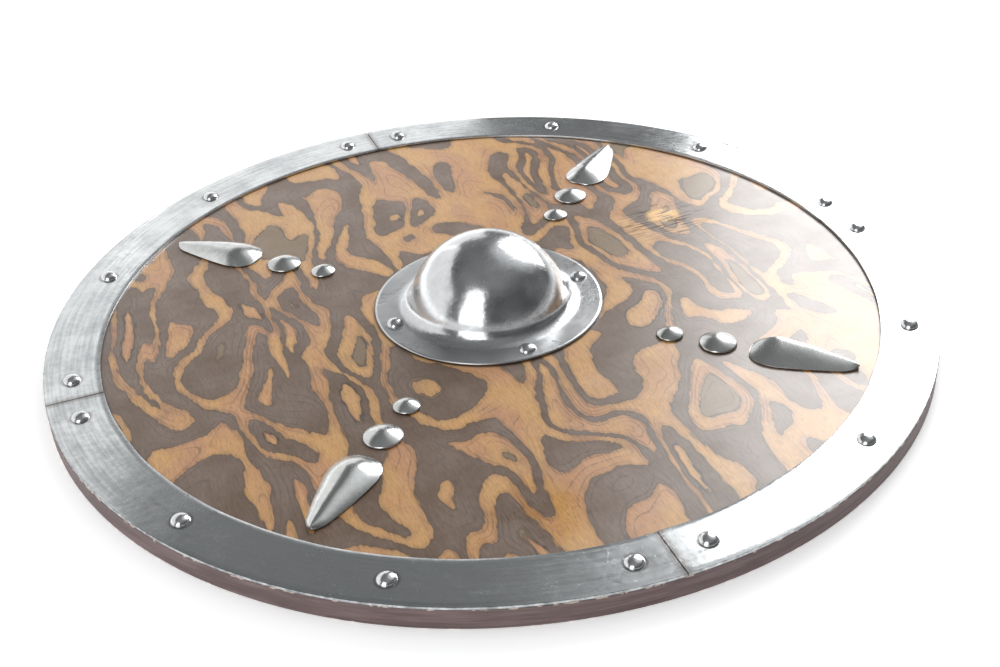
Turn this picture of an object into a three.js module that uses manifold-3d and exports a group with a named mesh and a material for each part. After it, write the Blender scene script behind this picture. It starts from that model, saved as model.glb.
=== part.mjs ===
// A round wooden shield: a thick board with a face veneer, edged with four flat steel rim segments,
// with a domed steel boss over its hand hole, a wooden grip let into its back, and four arms of
// pressed steel ornaments. Millimetres, +Z up.
//
// The origin is the middle of the board's back face, on which the shield lies, boss up.
// The grip runs along X, so two of the boss rivets also hold the grip's ends.
// The ornament arms lie on the diagonals, and the rim's joints lie close to the axes.

import * as THREE from "three";
import { mergeVertices } from "three/addons/utils/BufferGeometryUtils.js";
import Module from "manifold-3d";

const wasm = await Module();
wasm.setup();

// ---- Driving dimensions -------------------------------------------------------------------

const BOARD_RADIUS = 400;
const BOARD_THICKNESS = 18;
const BOARD_SIDES = 96;
const HAND_HOLE_RADIUS = 62;
const HAND_HOLE_SIDES = 36;

const SHEET = 2; // thickness of the rim's and the boss's steel
const RIM_RADIUS = 399.6;
const RIM_WIDTH = 49;
const RIM_SEGMENTS = 4;
const RIM_STEPS = 24; // facets along one rim segment
const RIM_TURN = -1.5; // degrees from the axes to the rim's joints
const RIM_JOINT_GAP = 0.8;
const RIVETS_PER_SEGMENT = 4;
const END_RIVET_ANGLE = 4.5; // degrees from a joint to the rivet next to it

const RIVET_HEAD_RADIUS = 8.2;
const RIVET_HEAD_HEIGHT = 5.4;
const RIVET_SHANK_RADIUS = 3;
const RIVET_SIDES = 10;
const HOLE_CLEARANCE = 0.35; // between a shank and the hole that it passes through

const BOSS_RADIUS = 104.6;
const BOSS_DOME_RADIUS = 73.5; // outside of the sheet
const BOSS_DOME_DROP = 6; // how far the dome's centre lies below the board's face
const BOSS_FILLET_RADIUS = 11; // where the dome turns out into the flange
const BOSS_SIDES = 40;
const BOSS_RIVETS = 4;
const BOSS_RIVET_CIRCLE = 91;

const GRIP_LENGTH = 216;
const GRIP_WIDTH = 30;
const GRIP_THICKNESS = 12;
const GRIP_EASING = 4; // rounding of the grip's long edges, where the fingers go round it
const GRIP_CLEARANCE = 0.3; // between the grip's ends and their housings in the board

const ARMS = 4;
const ARM_TURN = 45;
const NEAR_DISC = { name: "small_disc", at: 173.5, radius: 12.4, height: 6.6 };
const FAR_DISC = { name: "large_disc", at: 217, radius: 17.4, height: 7.8 };
const ORNAMENT_SHEET = 1.6;
const DISC_SIDES = 12;

const DROP_START = 245.5; // the teardrop's blunt end, measured from the middle of the shield
const DROP_LENGTH = 92;
const DROP_HALF_WIDTH = 21.5;
const DROP_TIP_HALF_WIDTH = 6.5;
const DROP_WIDEST = 0.27; // where it is widest and highest, as a share of its length
const DROP_HEIGHT = 11.5;
const DROP_STEPS_ALONG = 10;
const DROP_STEPS_ACROSS = 6;

const PIN_RADIUS = 1.6; // the pins under the discs and teardrops
const PIN_SIDES = 6;
const PIN_DEPTH = 9;
const DROP_PIN_PLACES = [0.25, 0.7]; // as shares of the teardrop's length

// ---- Heights and places worked out from them --------------------------------------------------

const FACE = BOARD_THICKNESS; // the board's front face
const RIM_TOP = FACE + SHEET;
const RIM_INNER_RADIUS = RIM_RADIUS - RIM_WIDTH;
const RIM_RIVET_CIRCLE = (RIM_RADIUS + RIM_INNER_RADIUS) / 2;
const SEGMENT_ANGLE = 360 / RIM_SEGMENTS;

const radians = THREE.MathUtils.degToRad;

// The angles, in degrees, of the rivets along one rim segment that starts at the given joint.
function rivetAngles(joint) {
  const pitch = (SEGMENT_ANGLE - 2 * END_RIVET_ANGLE) / (RIVETS_PER_SEGMENT - 1);
  return Array.from({ length: RIVETS_PER_SEGMENT }, (_, i) => joint + END_RIVET_ANGLE + i * pitch);
}

function polar(radius, degrees) {
  return new THREE.Vector2(
    radius * Math.cos(radians(degrees)),
    radius * Math.sin(radians(degrees)),
  );
}

const rimJoints = Array.from({ length: RIM_SEGMENTS }, (_, i) => RIM_TURN + i * SEGMENT_ANGLE);
const rimRivetPlaces = rimJoints.map((joint) =>
  rivetAngles(joint).map((angle) => polar(RIM_RIVET_CIRCLE, angle)),
);
const bossRivetPlaces = Array.from({ length: BOSS_RIVETS }, (_, i) =>
  polar(BOSS_RIVET_CIRCLE, (i * 360) / BOSS_RIVETS),
);
const armAngles = Array.from({ length: ARMS }, (_, i) => ARM_TURN + (i * 360) / ARMS);
const pinRadii = [
  NEAR_DISC.at,
  FAR_DISC.at,
  ...DROP_PIN_PLACES.map((share) => DROP_START + share * DROP_LENGTH),
];

// ---- Materials ----------------------------------------------------------------------------

const veneeredBoard = new THREE.MeshStandardMaterial({
  color: 0x8a6647,
  roughness: 0.45,
  metalness: 0,
});
const rimSteel = new THREE.MeshStandardMaterial({
  color: 0xb4b8ba,
  roughness: 0.32,
  metalness: 1,
});
const bossSteel = new THREE.MeshStandardMaterial({
  color: 0xc2c5c6,
  roughness: 0.2,
  metalness: 1,
});
const rivetSteel = new THREE.MeshStandardMaterial({
  color: 0xc8cacb,
  roughness: 0.18,
  metalness: 1,
});
const ornamentSteel = new THREE.MeshStandardMaterial({
  color: 0xc6c8c8,
  roughness: 0.22,
  metalness: 1,
});
const gripWood = new THREE.MeshStandardMaterial({
  color: 0x9a7550,
  roughness: 0.6,
  metalness: 0,
});

// ---- Solids ---------------------------------------------------------------------------------

// A closed three.js geometry as a solid that can be cut and joined.
function solid(geometry) {
  const bare = geometry.index ? geometry.toNonIndexed() : geometry.clone();
  bare.deleteAttribute("normal");
  bare.deleteAttribute("uv");
  const merged = mergeVertices(bare, 1e-4);
  return new wasm.Manifold(
    new wasm.Mesh({
      numProp: 3,
      vertProperties: merged.attributes.position.array,
      triVerts: new Uint32Array(merged.index.array),
    }),
  );
}

// The geometry of a cut solid.
function geometryOf(made) {
  const mesh = made.getMesh();
  const geometry = new THREE.BufferGeometry();
  geometry.setAttribute("position", new THREE.BufferAttribute(mesh.vertProperties, 3));
  geometry.setIndex(new THREE.BufferAttribute(mesh.triVerts, 1));
  geometry.computeVertexNormals();
  return geometry;
}

function cut(geometry, tools) {
  return geometryOf(tools.reduce((rest, tool) => rest.subtract(tool), solid(geometry)));
}

// A prism of a round outline standing on the height z, for holes and pins.
function post(place, radius, z, height, sides) {
  const geometry = new THREE.CylinderGeometry(radius, radius, height, sides);
  geometry.rotateX(Math.PI / 2);
  geometry.translate(place.x, place.y, z + height / 2);
  return geometry;
}

function shankHole(place, z, height) {
  const radius = RIVET_SHANK_RADIUS + HOLE_CLEARANCE;
  return solid(post(place, radius, z, height, RIVET_SIDES));
}

// A profile of [radius, height] points turned about Z.
function turned(profile, sides) {
  const points = profile.map(([radius, height]) => new THREE.Vector2(radius, height));
  return new THREE.LatheGeometry(points, sides).rotateX(Math.PI / 2);
}

// Points of an arc in the profile plane, from one angle to another, in degrees.
function arc(centre, radius, from, to, steps) {
  return Array.from({ length: steps + 1 }, (_, i) => {
    const angle = radians(from + ((to - from) * i) / steps);
    return [centre[0] + radius * Math.cos(angle), centre[1] + radius * Math.sin(angle)];
  });
}

// ---- Board ----------------------------------------------------------------------------------

function ring(radius, sides, clockwise) {
  const turn = ((clockwise ? -1 : 1) * 360) / sides;
  return Array.from({ length: sides }, (_, i) => polar(radius, i * turn));
}

// The bar that the grip fills, grown by a clearance to make its housing.
function gripBlank(clearance) {
  const half = { x: GRIP_LENGTH / 2 + clearance, y: GRIP_WIDTH / 2 + clearance };
  const height = GRIP_THICKNESS + clearance;
  const below = clearance ? 1 : 0; // the housing's tool runs past the board's back
  const blank = new THREE.BoxGeometry(2 * half.x, 2 * half.y, height + below);
  return blank.translate(0, 0, (height - below) / 2);
}

function makeBoard() {
  const outline = new THREE.Shape(ring(BOARD_RADIUS, BOARD_SIDES, false));
  outline.holes.push(new THREE.Path(ring(HAND_HOLE_RADIUS, HAND_HOLE_SIDES, true)));
  const blank = new THREE.ExtrudeGeometry(outline, {
    depth: BOARD_THICKNESS,
    bevelEnabled: false,
  });
  const rivetHoles = [...rimRivetPlaces.flat(), ...bossRivetPlaces].map((place) =>
    shankHole(place, -1, BOARD_THICKNESS + 2),
  );
  const pinHoles = armAngles.flatMap((angle) =>
    pinRadii.map((at) => {
      const bottom = FACE - PIN_DEPTH - HOLE_CLEARANCE;
      const radius = PIN_RADIUS + HOLE_CLEARANCE;
      return solid(post(polar(at, angle), radius, bottom, PIN_DEPTH + 2, PIN_SIDES));
    }),
  );
  return cut(blank, [solid(gripBlank(GRIP_CLEARANCE)), ...rivetHoles, ...pinHoles]);
}

// ---- Grip -----------------------------------------------------------------------------------

// A straight bar, with its long edges eased between the housings.
function makeGrip() {
  const easedLength = 2 * (HAND_HOLE_RADIUS - 8);
  const section = new THREE.Shape();
  const half = GRIP_WIDTH / 2;
  section.moveTo(-half + GRIP_EASING, 0);
  section.lineTo(half - GRIP_EASING, 0);
  section.quadraticCurveTo(half, 0, half, GRIP_EASING);
  section.lineTo(half, GRIP_THICKNESS - GRIP_EASING);
  section.quadraticCurveTo(half, GRIP_THICKNESS, half - GRIP_EASING, GRIP_THICKNESS);
  section.lineTo(-half + GRIP_EASING, GRIP_THICKNESS);
  section.quadraticCurveTo(-half, GRIP_THICKNESS, -half, GRIP_THICKNESS - GRIP_EASING);
  section.lineTo(-half, GRIP_EASING);
  section.quadraticCurveTo(-half, 0, -half + GRIP_EASING, 0);
  const eased = new THREE.ExtrudeGeometry(section, {
    depth: easedLength,
    bevelEnabled: false,
    curveSegments: 4,
  });
  eased.rotateX(Math.PI / 2);
  eased.rotateZ(Math.PI / 2);
  eased.translate(-easedLength / 2, 0, 0);
  const middle = new THREE.BoxGeometry(easedLength, 2 * GRIP_WIDTH, 3 * GRIP_THICKNESS);
  const holes = bossRivetPlaces
    .filter((place) => Math.abs(place.x) > 1)
    .map((place) => shankHole(place, -1, GRIP_THICKNESS + 2));
  const ends = solid(gripBlank(0)).subtract(solid(middle));
  return geometryOf(holes.reduce((rest, hole) => rest.subtract(hole), ends.add(solid(eased))));
}

// ---- Rim ------------------------------------------------------------------------------------

function makeRimSegment(joint, places) {
  const gapAngle = (radius) => THREE.MathUtils.radToDeg(RIM_JOINT_GAP / 2 / radius);
  const edge = (radius, backwards) => {
    const start = joint + gapAngle(radius);
    const span = SEGMENT_ANGLE - 2 * gapAngle(radius);
    const points = Array.from({ length: RIM_STEPS + 1 }, (_, i) =>
      polar(radius, start + (span * i) / RIM_STEPS),
    );
    return backwards ? points.reverse() : points;
  };
  const outline = new THREE.Shape([...edge(RIM_RADIUS, false), ...edge(RIM_INNER_RADIUS, true)]);
  const blank = new THREE.ExtrudeGeometry(outline, { depth: SHEET, bevelEnabled: false });
  blank.translate(0, 0, FACE);
  return cut(
    blank,
    places.map((place) => shankHole(place, FACE - 1, SHEET + 2)),
  );
}

// ---- Rivets ---------------------------------------------------------------------------------

// A domed head on the steel, and a shank through it and the board, filed off flush at the back.
function makeRivet() {
  const headSteps = 2;
  const dome = Array.from({ length: headSteps + 1 }, (_, i) => {
    const angle = radians((90 * i) / headSteps);
    return [RIVET_HEAD_RADIUS * Math.cos(angle), RIM_TOP + RIVET_HEAD_HEIGHT * Math.sin(angle)];
  });
  dome[headSteps][0] = 0;
  return turned(
    [[0, 0], [RIVET_SHANK_RADIUS, 0], [RIVET_SHANK_RADIUS, RIM_TOP], ...dome],
    RIVET_SIDES,
  );
}

// ---- Boss -----------------------------------------------------------------------------------

// The profile of one side of the boss's sheet, from the flange's edge to the crown. The dome and
// the flange meet in a fillet that touches both.
function bossSide(domeRadius, filletRadius, flangeTop) {
  const domeCentre = FACE - BOSS_DOME_DROP;
  const filletHeight = flangeTop + filletRadius;
  const reach = domeRadius + filletRadius;
  const filletAt = Math.sqrt(reach ** 2 - (filletHeight - domeCentre) ** 2);
  const meeting = THREE.MathUtils.radToDeg(Math.atan2(filletHeight - domeCentre, filletAt));
  const fillet = arc([filletAt, filletHeight], filletRadius, 270, 180 + meeting, 3);
  const dome = arc([0, domeCentre], domeRadius, meeting, 90, 7).slice(1);
  dome[dome.length - 1][0] = 0;
  return [[BOSS_RADIUS, flangeTop], ...fillet, ...dome];
}

function makeBoss() {
  const outside = bossSide(BOSS_DOME_RADIUS, BOSS_FILLET_RADIUS, FACE + SHEET);
  const inside = bossSide(BOSS_DOME_RADIUS - SHEET, BOSS_FILLET_RADIUS + SHEET, FACE);
  const shell = turned([...inside.reverse(), ...outside], BOSS_SIDES);
  return cut(
    shell,
    bossRivetPlaces.map((place) => shankHole(place, FACE - 1, SHEET + 2)),
  );
}

// ---- Discs ----------------------------------------------------------------------------------

// A shallow pressed disc, pointed like a hat, hollow below, on one pin.
function makeDisc({ radius, height }) {
  const slope = (share, reach, rise) => [reach * share, FACE + rise * (1 - share ** 1.5)];
  const outside = [1, 0.75, 0.4, 0].map((share) => slope(share, radius, height));
  outside[0][1] = FACE + ORNAMENT_SHEET * 0.6;
  const inside = [0.94, 0.5].map((share) => slope(share, radius, height - ORNAMENT_SHEET));
  inside[0][1] = FACE;
  const underCrown = FACE + height - ORNAMENT_SHEET * 1.6;
  return turned(
    [
      [0, FACE - PIN_DEPTH],
      [PIN_RADIUS, FACE - PIN_DEPTH],
      [PIN_RADIUS, underCrown],
      inside[1],
      inside[0],
      ...outside,
    ],
    DISC_SIDES,
  );
}

// ---- Teardrops ------------------------------------------------------------------------------

// Half the teardrop's width at a share of its length from the blunt end. The blunt end is a
// rounded shoulder, and from its widest place the sides run almost straight to a rounded tip.
function dropHalfWidth(share) {
  const bluntness = 2.5; // a shoulder of 2 would be elliptical, and a greater one is squarer
  const before = Math.max(0, 1 - share / DROP_WIDEST);
  const shoulder = (1 - before ** bluntness) ** (1 / bluntness);
  const taper = Math.max(0, (share - DROP_WIDEST) / (1 - DROP_WIDEST));
  const sides = DROP_HALF_WIDTH + (DROP_TIP_HALF_WIDTH - DROP_HALF_WIDTH) * taper ** 1.3;
  const tipStart = 1 - DROP_TIP_HALF_WIDTH / DROP_LENGTH;
  const inTip = Math.max(0, (share - tipStart) / (1 - tipStart));
  return sides * shoulder * Math.sqrt(1 - inTip ** 2);
}

// The height of the teardrop's crown line over the board's face.
function dropCrown(share) {
  const climb = Math.min(1, share / DROP_WIDEST);
  const fall = Math.max(0, (share - DROP_WIDEST) / (1 - DROP_WIDEST));
  return DROP_HEIGHT * Math.sin((climb * Math.PI) / 2) ** 0.7 * (1 - 0.62 * fall ** 1.4);
}

// One side of the pressed sheet as a grid of points, drawn in from the outline and down from the
// crown by an inset, so that the same function makes the outside and the hollow below.
function dropGrid(inset) {
  const rows = [];
  for (let i = 0; i <= DROP_STEPS_ALONG; i += 1) {
    const even = i / DROP_STEPS_ALONG;
    const share = (1 - Math.cos(even * Math.PI)) / 2; // closer rows at both ends
    const scale = (DROP_LENGTH - 2 * inset) / DROP_LENGTH;
    const along = DROP_START + inset + share * DROP_LENGTH * scale;
    const half = Math.max(0, dropHalfWidth(share) - inset);
    const crown = Math.max(0, dropCrown(share) - inset);
    const edge = inset > 0 ? 0 : ORNAMENT_SHEET;
    const row = [];
    for (let j = 0; j <= DROP_STEPS_ACROSS; j += 1) {
      const across = Math.sin((((2 * j) / DROP_STEPS_ACROSS - 1) * Math.PI) / 2);
      const rise = Math.max(0, crown - edge) * (1 - Math.abs(across) ** 2.2);
      row.push(new THREE.Vector3(along, half * across, FACE + edge + rise));
    }
    rows.push(row);
  }
  return rows;
}

// The wall between two closed loops of points with the same count.
function addBand(triangles, lower, upper) {
  lower.forEach((point, i) => {
    const next = (i + 1) % lower.length;
    triangles.push(point, lower[next], upper[next], point, upper[next], upper[i]);
  });
}

function addGrid(triangles, rows, facingUp) {
  for (let i = 0; i + 1 < rows.length; i += 1)
    for (let j = 0; j + 1 < rows[i].length; j += 1) {
      const [a, b, c, d] = [rows[i][j], rows[i + 1][j], rows[i + 1][j + 1], rows[i][j + 1]];
      triangles.push(...(facingUp ? [a, b, c, a, c, d] : [a, c, b, a, d, c]));
    }
}

// The grid's border, once round, anticlockwise seen from above.
function border(rows) {
  const last = rows.length - 1;
  const width = rows[0].length - 1;
  return [
    ...rows.slice(0, last).map((row) => row[0]),
    ...rows[last].slice(0, width),
    ...rows.slice(1).reverse().map((row) => row[width]),
    ...rows[0].slice(1).reverse(),
  ];
}

// A hollow pressed teardrop with two pins below. Its blunt end points at the boss.
function makeTeardrop() {
  const outside = dropGrid(0);
  const inside = dropGrid(ORNAMENT_SHEET);
  const triangles = [];
  const foot = border(outside).map((point) => new THREE.Vector3(point.x, point.y, FACE));
  addGrid(triangles, outside, true);
  addBand(triangles, foot, border(outside));
  addBand(triangles, border(inside), foot);
  addGrid(triangles, inside, false);
  const shell = solid(new THREE.BufferGeometry().setFromPoints(triangles));
  const pins = DROP_PIN_PLACES.map((share) => {
    const place = new THREE.Vector2(DROP_START + share * DROP_LENGTH, 0);
    const top = dropCrown(share) - ORNAMENT_SHEET / 2;
    return solid(post(place, PIN_RADIUS, FACE - PIN_DEPTH, PIN_DEPTH + top, PIN_SIDES));
  });
  return geometryOf(pins.reduce((rest, pin) => rest.add(pin), shell));
}

// ---- Assembly -------------------------------------------------------------------------------

function part(name, geometry, material) {
  const mesh = new THREE.Mesh(geometry, material);
  mesh.name = name;
  return mesh;
}

const shield = new THREE.Group();
shield.add(part("board", makeBoard(), veneeredBoard));
shield.add(part("grip", makeGrip(), gripWood));

const rivet = makeRivet();

rimJoints.forEach((joint, segment) => {
  const places = rimRivetPlaces[segment];
  const steel = makeRimSegment(joint, places);
  shield.add(part(`rim_segment_${segment + 1}`, steel, rimSteel));
  places.forEach((place, i) => {
    const head = part(`rim_rivet_${segment + 1}_${i + 1}`, rivet, rivetSteel);
    head.position.set(place.x, place.y, 0);
    shield.add(head);
  });
});

shield.add(part("boss", makeBoss(), bossSteel));
bossRivetPlaces.forEach((place, i) => {
  const head = part(`boss_rivet_${i + 1}`, rivet, rivetSteel);
  head.position.set(place.x, place.y, 0);
  shield.add(head);
});

const teardrop = makeTeardrop();
const discs = [NEAR_DISC, FAR_DISC].map((disc) => ({ ...disc, geometry: makeDisc(disc) }));

armAngles.forEach((angle, i) => {
  const arm = new THREE.Group();
  arm.rotation.z = radians(angle);
  discs.forEach(({ name, at, geometry }) => {
    const disc = part(`${name}_${i + 1}`, geometry, ornamentSteel);
    disc.position.x = at;
    arm.add(disc);
  });
  arm.add(part(`teardrop_${i + 1}`, teardrop, ornamentSteel));
  shield.add(arm);
});

export default shield;
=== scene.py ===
# %% [markdown]
# # A round wooden shield, in Blender
#
# The shield is a thick wooden board with a figured veneer on its face. A flat steel rim in four
# segments is riveted round its edge, a domed steel boss covers the hole for the hand, and four
# arms of pressed steel ornaments stand on the diagonals. The construction model already holds
# every piece at its real size. This lesson dresses it: each piece is modelled again with fine
# detail in the same place, and gets a finish that is worked out by shader nodes.

# %% Load the fixed frame
from math import atan2, cos, degrees, hypot, pi, radians, sin

import bmesh
import bpy
from mathutils import Matrix, Vector, noise


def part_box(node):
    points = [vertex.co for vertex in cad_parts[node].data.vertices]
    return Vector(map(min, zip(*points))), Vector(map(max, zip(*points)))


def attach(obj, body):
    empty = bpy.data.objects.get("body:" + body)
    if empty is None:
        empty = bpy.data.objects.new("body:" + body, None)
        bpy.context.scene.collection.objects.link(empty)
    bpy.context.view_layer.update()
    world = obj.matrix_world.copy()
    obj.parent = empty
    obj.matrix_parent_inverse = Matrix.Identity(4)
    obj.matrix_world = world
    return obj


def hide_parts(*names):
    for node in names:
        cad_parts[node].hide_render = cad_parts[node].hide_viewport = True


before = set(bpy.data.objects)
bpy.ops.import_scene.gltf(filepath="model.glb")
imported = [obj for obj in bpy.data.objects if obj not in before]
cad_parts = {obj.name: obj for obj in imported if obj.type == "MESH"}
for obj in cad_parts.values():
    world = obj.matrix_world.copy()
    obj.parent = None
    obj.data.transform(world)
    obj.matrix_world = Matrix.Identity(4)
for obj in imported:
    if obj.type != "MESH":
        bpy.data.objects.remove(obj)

scene = bpy.context.scene
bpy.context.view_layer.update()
print("pieces in the frame:", len(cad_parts))

# %% [markdown]
# ## Sizes
#
# The places and outer sizes of the pieces are read from the frame, so a piece that is modelled
# here always lands where its construction solid is. Only finer details get sizes of their own.
# Blender works in metres, and a maker thinks in millimetres, so one constant turns the one into
# the other.

# %% Read the sizes from the frame
MM = 0.001


def middle(node):
    low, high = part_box(node)
    return (low + high) / 2


def reach(node):
    """The nearest and the farthest distance of a node's corners from the shield's axis."""
    distances = [hypot(corner.co.x, corner.co.y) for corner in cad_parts[node].data.vertices]
    return min(distances), max(distances)


ARMS = 4
SEGMENTS = 4
RIVETS_PER_SEGMENT = 4
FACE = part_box("board")[1].z
HAND_HOLE_RADIUS, BOARD_RADIUS = reach("board")
RIM_INNER, RIM_OUTER = reach("rim_segment_1")
RIM_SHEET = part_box("rim_segment_1")[1].z - FACE
RIM_MIDDLE = (RIM_INNER + RIM_OUTER) / 2
BOSS_RADIUS = reach("boss")[1]
BOSS_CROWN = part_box("boss")[1].z
print(f"board {BOARD_RADIUS / MM:.1f} mm in radius and {FACE / MM:.1f} mm thick")
print(f"rim from {RIM_INNER / MM:.1f} to {RIM_OUTER / MM:.1f} mm, boss {BOSS_RADIUS / MM:.1f} mm")

# %% [markdown]
# ## Camera
#
# The shield lies on its back and is seen from the front, a little from the left and from about a
# third of a right angle above it. A short way to aim a camera is to turn the line of sight into
# a rotation with `to_track_quat`, then to roll it about its own axis, because the horizon isn't
# quite level.

# %% Set the camera
CAMERA_PLACE = Vector((-0.382, -1.042, 0.707))
CAMERA_AIM = Vector((-0.012, -0.057, 0.020))
CAMERA_LENS = 51  # on the 36 mm wide sensor
CAMERA_ROLL = radians(-3.2)

camera = bpy.data.objects.new("camera", bpy.data.cameras.new("camera"))
camera.data.sensor_width = 36
camera.data.lens = CAMERA_LENS
line_of_sight = CAMERA_AIM - CAMERA_PLACE
aimed = line_of_sight.to_track_quat("-Z", "Y").to_matrix() @ Matrix.Rotation(CAMERA_ROLL, 3, "Z")
camera.matrix_world = Matrix.Translation(CAMERA_PLACE) @ aimed.to_4x4()
scene.collection.objects.link(camera)
scene.camera = camera
scene.view_settings.view_transform = "Standard"
print(f"camera {line_of_sight.length:.2f} m away")

# %% [markdown]
# ## Shader maths as Python expressions
#
# A procedural finish is mostly arithmetic on noise, and wiring that by hand is slow to write and
# hard to read. `Wire` wraps an output socket, so that `1 - mask * 0.5` adds the Math nodes that
# work it out. Colours and vectors go through Vector Math, because a Math node would turn them
# grey. `Shader` holds a node tree, and its method `add` makes every node there is.

# %% Wrap sockets and node trees
SEED_STEP = (3.1, 1.7, 2.3)  # how far one seed moves noise from the next


class Wire:
    """An output socket that Python's operators can calculate with."""

    def __init__(self, shader, socket):
        self.shader = shader
        self.socket = socket

    def math(self, operation, *values):
        wires = [value for value in values if isinstance(value, Wire)]
        is_vector = any(wire.socket.type in ("VECTOR", "RGBA") for wire in wires)
        is_vector = is_vector or any(isinstance(value, tuple) for value in values)
        kind = "ShaderNodeVectorMath" if is_vector else "ShaderNodeMath"
        return self.shader.add(kind, {"operation": operation}, dict(enumerate(values)))

    def __add__(self, other):
        return self.math("ADD", self, other)

    def __radd__(self, other):
        return self.math("ADD", other, self)

    def __sub__(self, other):
        return self.math("SUBTRACT", self, other)

    def __rsub__(self, other):
        return self.math("SUBTRACT", other, self)

    def __mul__(self, other):
        return self.math("MULTIPLY", self, other)

    def __rmul__(self, other):
        return self.math("MULTIPLY", other, self)

    def __truediv__(self, other):
        return self.math("DIVIDE", self, other)

    def __pow__(self, other):
        return self.math("POWER", self, other)

    def __abs__(self):
        return self.math("ABSOLUTE", self)


class Shader:
    """A node tree, with a method that adds a node and short names for the nodes used most."""

    def __init__(self, tree):
        self.tree = tree

    def add(self, kind, settings=None, sockets=None, output=0):
        """Add a node: its settings first, then a value or a Wire for each socket."""
        node = self.tree.nodes.new(kind)
        for name, value in (settings or {}).items():
            setattr(node, name, value)
        self.plug(node, sockets or {})
        return Wire(self, node.outputs[output])

    def plug(self, node, sockets):
        """Give each socket its value or its Wire."""
        for name, value in sockets.items():
            socket = node.inputs[name]
            if isinstance(value, Wire):
                self.tree.links.new(value.socket, socket)
            elif socket.type == "RGBA":
                socket.default_value = (*value, 1)
            elif socket.type == "VECTOR" and not isinstance(value, tuple):
                socket.default_value = (value, value, value)
            else:
                socket.default_value = value

    def place(self):
        """Where a point lies on the object, in millimetres."""
        return self.add("ShaderNodeTexCoord", output="Object") * 1000.0

    def along(self, vector):
        """The three coordinates of a vector."""
        parts = self.add("ShaderNodeSeparateXYZ", {}, {0: vector})
        return [Wire(self, socket) for socket in parts.socket.node.outputs]

    def noise(self, place, size, detail, seed, rough=0.5):
        """Soft random values about 0, mostly between -1 and 1, of a size in mm along each axis."""
        moved = place / size + tuple(seed * step for step in SEED_STEP)
        sockets = {"Vector": moved, "Scale": 1.0, "Detail": detail, "Roughness": rough}
        return (self.add("ShaderNodeTexNoise", {}, sockets) - 0.5) * 4.0

    def ease(self, value, low, high):
        """0 where the value is below low, 1 where it is above high, and smooth between."""
        settings = {"interpolation_type": "SMOOTHSTEP"}
        return self.add("ShaderNodeMapRange", settings, {0: value, 1: low, 2: high})

    def mix(self, amount, first, second):
        """The first colour where the amount is 0, and the second where it is 1."""
        return self.add("ShaderNodeMix", {"data_type": "RGBA"}, {0: amount, 6: first, 7: second}, 2)

    def larger(self, first, second):
        return self.add("ShaderNodeMath", {"operation": "MAXIMUM"}, {0: first, 1: second})

    def smaller(self, first, second):
        return self.add("ShaderNodeMath", {"operation": "MINIMUM"}, {0: first, 1: second})

    def distance(self, x, y):
        return (x * x + y * y) ** 0.5

    def bump(self, height, strength=1.0):
        """A normal for a height in millimetres."""
        sockets = {"Strength": strength, "Distance": MM, "Height": height}
        return self.add("ShaderNodeBump", {}, sockets)


class Finish(Shader):
    """A material with one Principled shader."""

    def __init__(self, name):
        self.material = bpy.data.materials.new(name)
        self.material.use_nodes = True
        super().__init__(self.material.node_tree)

    def surface(self, sockets):
        """Plug the values and Wires into the shader, which finishes the material."""
        self.plug(self.tree.nodes["Principled BSDF"], sockets)
        print(f"{self.material.name}: {len(self.tree.nodes)} nodes")
        return self.material


# %% [markdown]
# ## Studio
#
# Polished steel shows the room more than it shows itself, so the lights are planned as
# reflections. Panels are used because each can be moved until its own reflection is right. A big
# soft box stands behind the shield on the right and blanches the varnish there. A long white
# reflector stands on the left, a lower one carries on from it behind the shield, and the gap
# before the soft box stays dark. A window shines from behind the camera on its left. The rest of
# the room is dim, with a pale low horizon, a faint ceiling and a glow high on the right, where a
# pale wall catches the soft box. An overhead light that mirrors don't see fills the shadows and
# keeps the floor white.

# %% Light the studio
FLOOR_HALF = 6.0
FLOOR_GAP = 0.0003  # between the floor and the board's back
FLOOR_GLOW = 0.28  # like a light table's, so that shadows stay pale
FLOOR_WHITES = ((0.90, 0.905, 0.915), (0.93, 0.93, 0.93))
ROOM_TINT = (0.97, 0.985, 1.0)
ROOM_DARK = 0.09  # the brightness that is left where nothing shines
SHAPES_GLOW = 0.14
CEILING_GLOW = 0.14
WALL_GLOW = 0.65
WALL_TOWARD = (0.61, 0.31, 0.73)  # where the glowing wall is, as a direction


def as_object(name, bm):
    """Turn a bmesh into an object in the scene."""
    mesh = bpy.data.meshes.new(name)
    bm.to_mesh(mesh)
    bm.free()
    made = bpy.data.objects.new(name, mesh)
    scene.collection.objects.link(made)
    return made


def panel_light(name, azimuth, distance, bottom, top, width, radiance):
    """A soft upright light that faces the shield, as bright as its radiance says.

    The azimuth is counted in degrees from +Y towards +X.
    """
    light = bpy.data.lights.new(name, "AREA")
    light.shape = "RECTANGLE"
    light.size = width
    light.size_y = top - bottom
    light.energy = radiance * pi * width * (top - bottom)
    stand = bpy.data.objects.new(name, light)
    toward = Vector((sin(radians(azimuth)), cos(radians(azimuth)), 0))
    place = toward * distance + Vector((0, 0, (bottom + top) / 2))
    turn = (-toward).to_track_quat("-Z", "Y").to_matrix().to_4x4()
    stand.matrix_world = Matrix.Translation(place) @ turn
    scene.collection.objects.link(stand)
    print(f"{name}: {light.energy:.0f} W")


def overhead_light(height, size, radiance):
    """A soft light above the shield that lights it but isn't mirrored in it."""
    light = bpy.data.lights.new("overhead_fill", "AREA")
    light.size = size
    light.energy = radiance * pi * size**2
    stand = bpy.data.objects.new("overhead_fill", light)
    stand.location = (0, 0, height)
    stand.visible_glossy = False
    scene.collection.objects.link(stand)


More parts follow.
